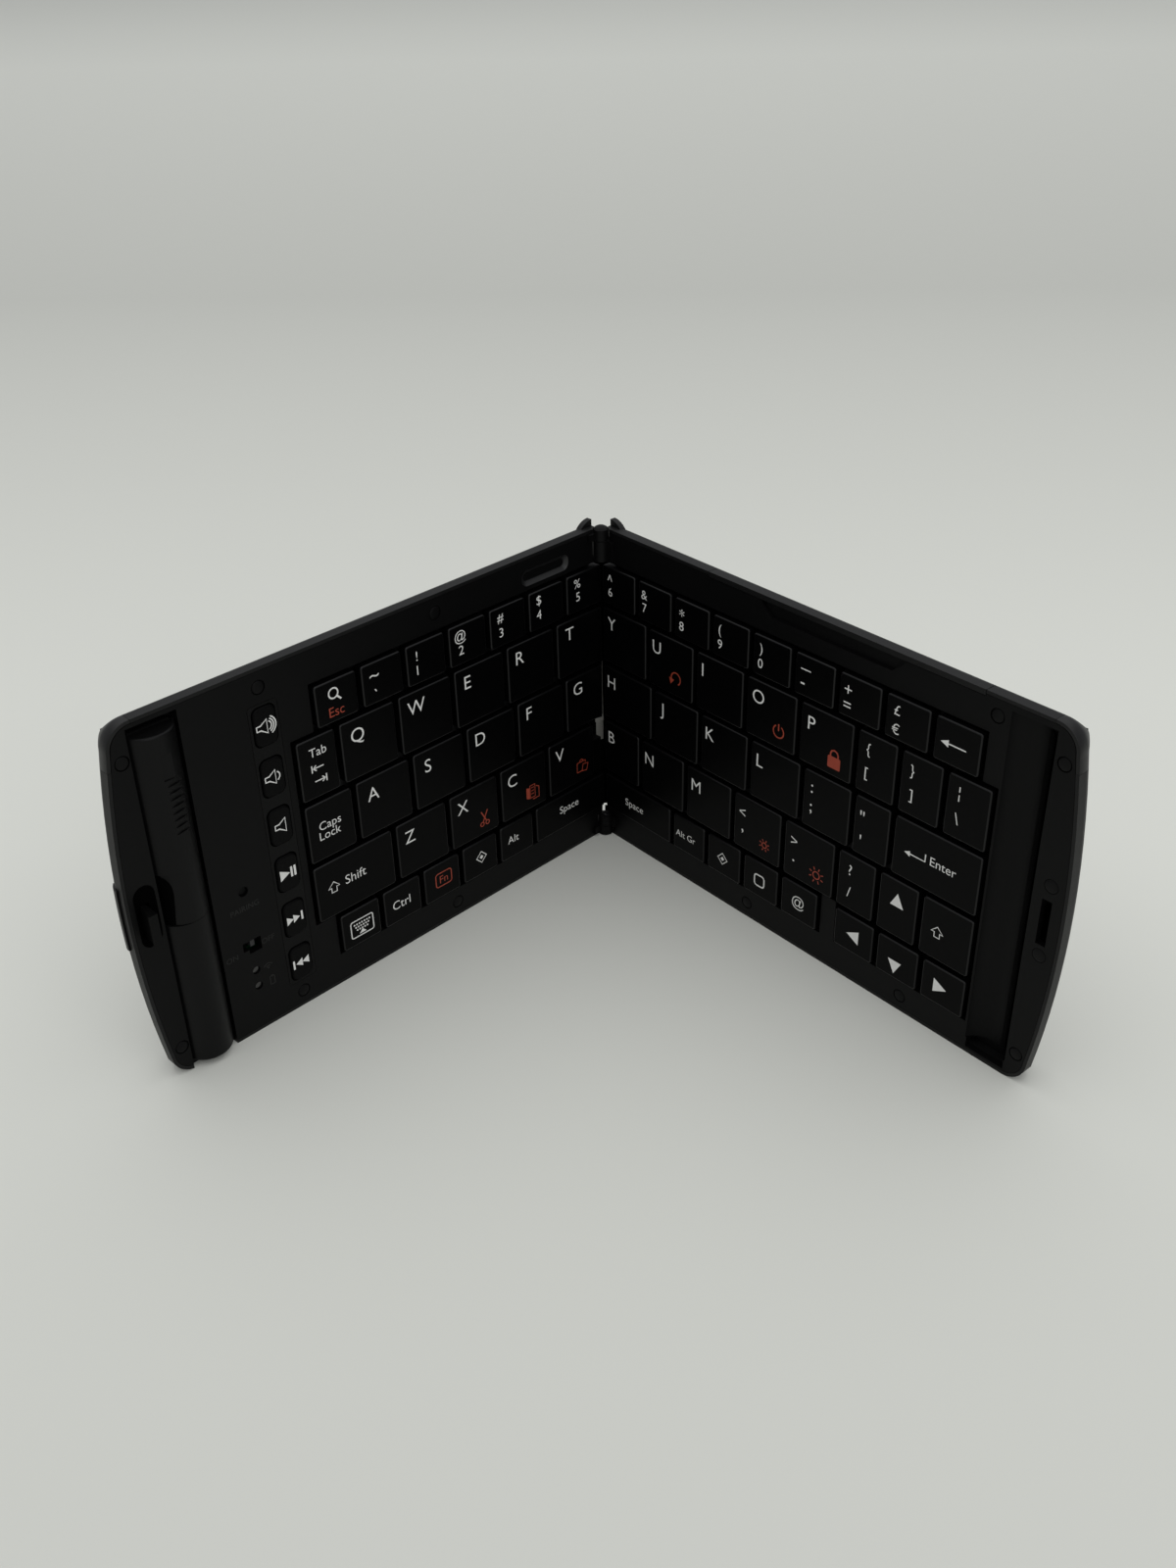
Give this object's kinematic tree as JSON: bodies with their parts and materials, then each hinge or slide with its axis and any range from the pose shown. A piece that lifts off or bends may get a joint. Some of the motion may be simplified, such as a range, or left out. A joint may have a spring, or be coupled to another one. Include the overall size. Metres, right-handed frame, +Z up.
{
  "type": "folding keyboard",
  "caption": "Pocket keyboard that folds like a book at an upright hinge, with flat keys, a strip of media keys, a round battery tube with a sliding cover, a latch and a pull-out phone stand.",
  "frame": {"origin": "middle of the bounding box on the surface that the keyboard stands on, standing open as a V on its long front edges", "axes": "+X towards the right half's outer end, +Y from the open side of the V towards the hinge, +Z up along the hinge axis, from the front row of keys to the number row"},
  "size_m": [0.2158, 0.1186, 0.0998],
  "materials": {
    "case": "fine matte",
    "keys": "fine matte",
    "trim": "smooth satin",
    "gloss": "gloss",
    "rubber": "matte",
    "plate": "stamped sheet",
    "membrane": "printed film",
    "board": "circuit board lacquer",
    "cells": "wrapped steel can",
    "contacts": "nickel plated",
    "pins": "ground",
    "lens": "diffuse light pipe",
    "knob": "moulded"
  },
  "bodies": {
    "left_half": {"left_base": "case", "left_deck": "case", "left_corner_cap": "trim", "left_feet": "rubber", "left_key_plate": "plate", "left_membrane": "membrane", "left_screw_plugs": "case", "control_board": "board", "switch_body": "board", "battery_tube": "case", "battery_cells": "cells", "battery_contacts": "contacts", "status_lights": "lens", "media_bezel": "gloss", "hinge_pins": "pins"},
    "right_half": {"right_base": "case", "right_deck": "case", "right_corner_cap": "trim", "right_feet": "rubber", "right_key_plate": "plate", "right_membrane": "membrane", "right_screw_plugs": "case"},
    "phone_stand": {"phone_stand": "trim"},
    "battery_cover": {"battery_cover": "case"},
    "power_switch": {"switch_knob": "knob"},
    "pairing_button": {"pairing_button": "keys"},
    "latch": {"release_button": "trim", "latch_hook": "plate"},
    "volume_up_key": {"volume_up_key": "keys"},
    "volume_down_key": {"volume_down_key": "keys"},
    "mute_key": {"mute_key": "keys"},
    "play_key": {"play_key": "keys"},
    "next_key": {"next_key": "keys"},
    "previous_key": {"previous_key": "keys"},
    "left_number_keys": {"left_number_keys": "keys"},
    "left_top_keys": {"left_top_keys": "keys"},
    "left_home_keys": {"left_home_keys": "keys"},
    "left_low_keys": {"left_low_keys": "keys"},
    "left_front_keys": {"left_front_keys": "keys"},
    "left_space_bar": {"left_space_bar": "keys"},
    "tab_key": {"tab_key": "keys"},
    "caps_key": {"caps_key": "keys"},
    "left_shift_key": {"left_shift_key": "keys"},
    "right_number_keys": {"right_number_keys": "keys"},
    "right_top_keys": {"right_top_keys": "keys"},
    "right_home_keys": {"right_home_keys": "keys"},
    "right_low_keys": {"right_low_keys": "keys"},
    "right_front_keys": {"right_front_keys": "keys"},
    "right_space_bar": {"right_space_bar": "keys"},
    "backspace_key": {"backspace_key": "keys"},
    "enter_key": {"enter_key": "keys"},
    "right_shift_key": {"right_shift_key": "keys"},
    "arrow_keys": {"arrow_keys": "keys"}
  },
  "joints": [
    {"name": "fold", "type": "hinge", "parent": "left_half", "child": "right_half", "pos_m": [0, 0.05247, 0.05], "axis": [0, 0, 1], "range_deg": [-85.4, 94.6]},
    {"name": "phone_stand_slide", "type": "slide", "parent": "right_half", "child": "phone_stand", "axis": [0, 0, 1], "range_m": [0, 0.03]},
    {"name": "battery_cover_slide", "type": "slide", "parent": "left_half", "child": "battery_cover", "axis": [0, 0, 1], "range_m": [0, 0.002]},
    {"name": "power_switch_slide", "type": "slide", "parent": "left_half", "child": "power_switch", "axis": [-0.6782, -0.7349, 0], "range_m": [0, 0.002]},
    {"name": "pairing_button_press", "type": "slide", "parent": "left_half", "child": "pairing_button", "axis": [-0.7349, 0.6782, 0], "range_m": [0, 0.0004], "stiffness_N_per_m": 200},
    {"name": "latch_release", "type": "slide", "parent": "left_half", "child": "latch", "axis": [0.6782, 0.7349, 0], "range_m": [0, 0.0008], "stiffness_N_per_m": 300},
    {"name": "volume_up_key_press", "type": "slide", "parent": "left_half", "child": "volume_up_key", "axis": [-0.7349, 0.6782, 0], "range_m": [0, 0.0011], "stiffness_N_per_m": 400},
    {"name": "volume_down_key_press", "type": "slide", "parent": "left_half", "child": "volume_down_key", "axis": [-0.7349, 0.6782, 0], "range_m": [0, 0.0011], "stiffness_N_per_m": 400},
    {"name": "mute_key_press", "type": "slide", "parent": "left_half", "child": "mute_key", "axis": [-0.7349, 0.6782, 0], "range_m": [0, 0.0011], "stiffness_N_per_m": 400},
    {"name": "play_key_press", "type": "slide", "parent": "left_half", "child": "play_key", "axis": [-0.7349, 0.6782, 0], "range_m": [0, 0.0011], "stiffness_N_per_m": 400},
    {"name": "next_key_press", "type": "slide", "parent": "left_half", "child": "next_key", "axis": [-0.7349, 0.6782, 0], "range_m": [0, 0.0011], "stiffness_N_per_m": 400},
    {"name": "previous_key_press", "type": "slide", "parent": "left_half", "child": "previous_key", "axis": [-0.7349, 0.6782, 0], "range_m": [0, 0.0011], "stiffness_N_per_m": 400},
    {"name": "left_number_keys_press", "type": "slide", "parent": "left_half", "child": "left_number_keys", "axis": [-0.7349, 0.6782, 0], "range_m": [0, 0.0011], "stiffness_N_per_m": 500},
    {"name": "left_top_keys_press", "type": "slide", "parent": "left_half", "child": "left_top_keys", "axis": [-0.7349, 0.6782, 0], "range_m": [0, 0.0011], "stiffness_N_per_m": 500},
    {"name": "left_home_keys_press", "type": "slide", "parent": "left_half", "child": "left_home_keys", "axis": [-0.7349, 0.6782, 0], "range_m": [0, 0.0011], "stiffness_N_per_m": 500},
    {"name": "left_low_keys_press", "type": "slide", "parent": "left_half", "child": "left_low_keys", "axis": [-0.7349, 0.6782, 0], "range_m": [0, 0.0011], "stiffness_N_per_m": 500},
    {"name": "left_front_keys_press", "type": "slide", "parent": "left_half", "child": "left_front_keys", "axis": [-0.7349, 0.6782, 0], "range_m": [0, 0.0011], "stiffness_N_per_m": 500},
    {"name": "left_space_bar_press", "type": "slide", "parent": "left_half", "child": "left_space_bar", "axis": [-0.7349, 0.6782, 0], "range_m": [0, 0.0011], "stiffness_N_per_m": 500},
    {"name": "tab_key_press", "type": "slide", "parent": "left_half", "child": "tab_key", "axis": [-0.7349, 0.6782, 0], "range_m": [0, 0.0011], "stiffness_N_per_m": 500},
    {"name": "caps_key_press", "type": "slide", "parent": "left_half", "child": "caps_key", "axis": [-0.7349, 0.6782, 0], "range_m": [0, 0.0011], "stiffness_N_per_m": 500},
    {"name": "left_shift_key_press", "type": "slide", "parent": "left_half", "child": "left_shift_key", "axis": [-0.7349, 0.6782, 0], "range_m": [0, 0.0011], "stiffness_N_per_m": 500},
    {"name": "right_number_keys_press", "type": "slide", "parent": "right_half", "child": "right_number_keys", "axis": [0.7349, 0.6782, 0], "range_m": [0, 0.0011], "stiffness_N_per_m": 500},
    {"name": "right_top_keys_press", "type": "slide", "parent": "right_half", "child": "right_top_keys", "axis": [0.7349, 0.6782, 0], "range_m": [0, 0.0011], "stiffness_N_per_m": 500},
    {"name": "right_home_keys_press", "type": "slide", "parent": "right_half", "child": "right_home_keys", "axis": [0.7349, 0.6782, 0], "range_m": [0, 0.0011], "stiffness_N_per_m": 500},
    {"name": "right_low_keys_press", "type": "slide", "parent": "right_half", "child": "right_low_keys", "axis": [0.7349, 0.6782, 0], "range_m": [0, 0.0011], "stiffness_N_per_m": 500},
    {"name": "right_front_keys_press", "type": "slide", "parent": "right_half", "child": "right_front_keys", "axis": [0.7349, 0.6782, 0], "range_m": [0, 0.0011], "stiffness_N_per_m": 500},
    {"name": "right_space_bar_press", "type": "slide", "parent": "right_half", "child": "right_space_bar", "axis": [0.7349, 0.6782, 0], "range_m": [0, 0.0011], "stiffness_N_per_m": 500},
    {"name": "backspace_key_press", "type": "slide", "parent": "right_half", "child": "backspace_key", "axis": [0.7349, 0.6782, 0], "range_m": [0, 0.0011], "stiffness_N_per_m": 500},
    {"name": "enter_key_press", "type": "slide", "parent": "right_half", "child": "enter_key", "axis": [0.7349, 0.6782, 0], "range_m": [0, 0.0011], "stiffness_N_per_m": 500},
    {"name": "right_shift_key_press", "type": "slide", "parent": "right_half", "child": "right_shift_key", "axis": [0.7349, 0.6782, 0], "range_m": [0, 0.0011], "stiffness_N_per_m": 500},
    {"name": "arrow_keys_press", "type": "slide", "parent": "right_half", "child": "arrow_keys", "axis": [0.7349, 0.6782, 0], "range_m": [0, 0.0011], "stiffness_N_per_m": 500}
  ]
}
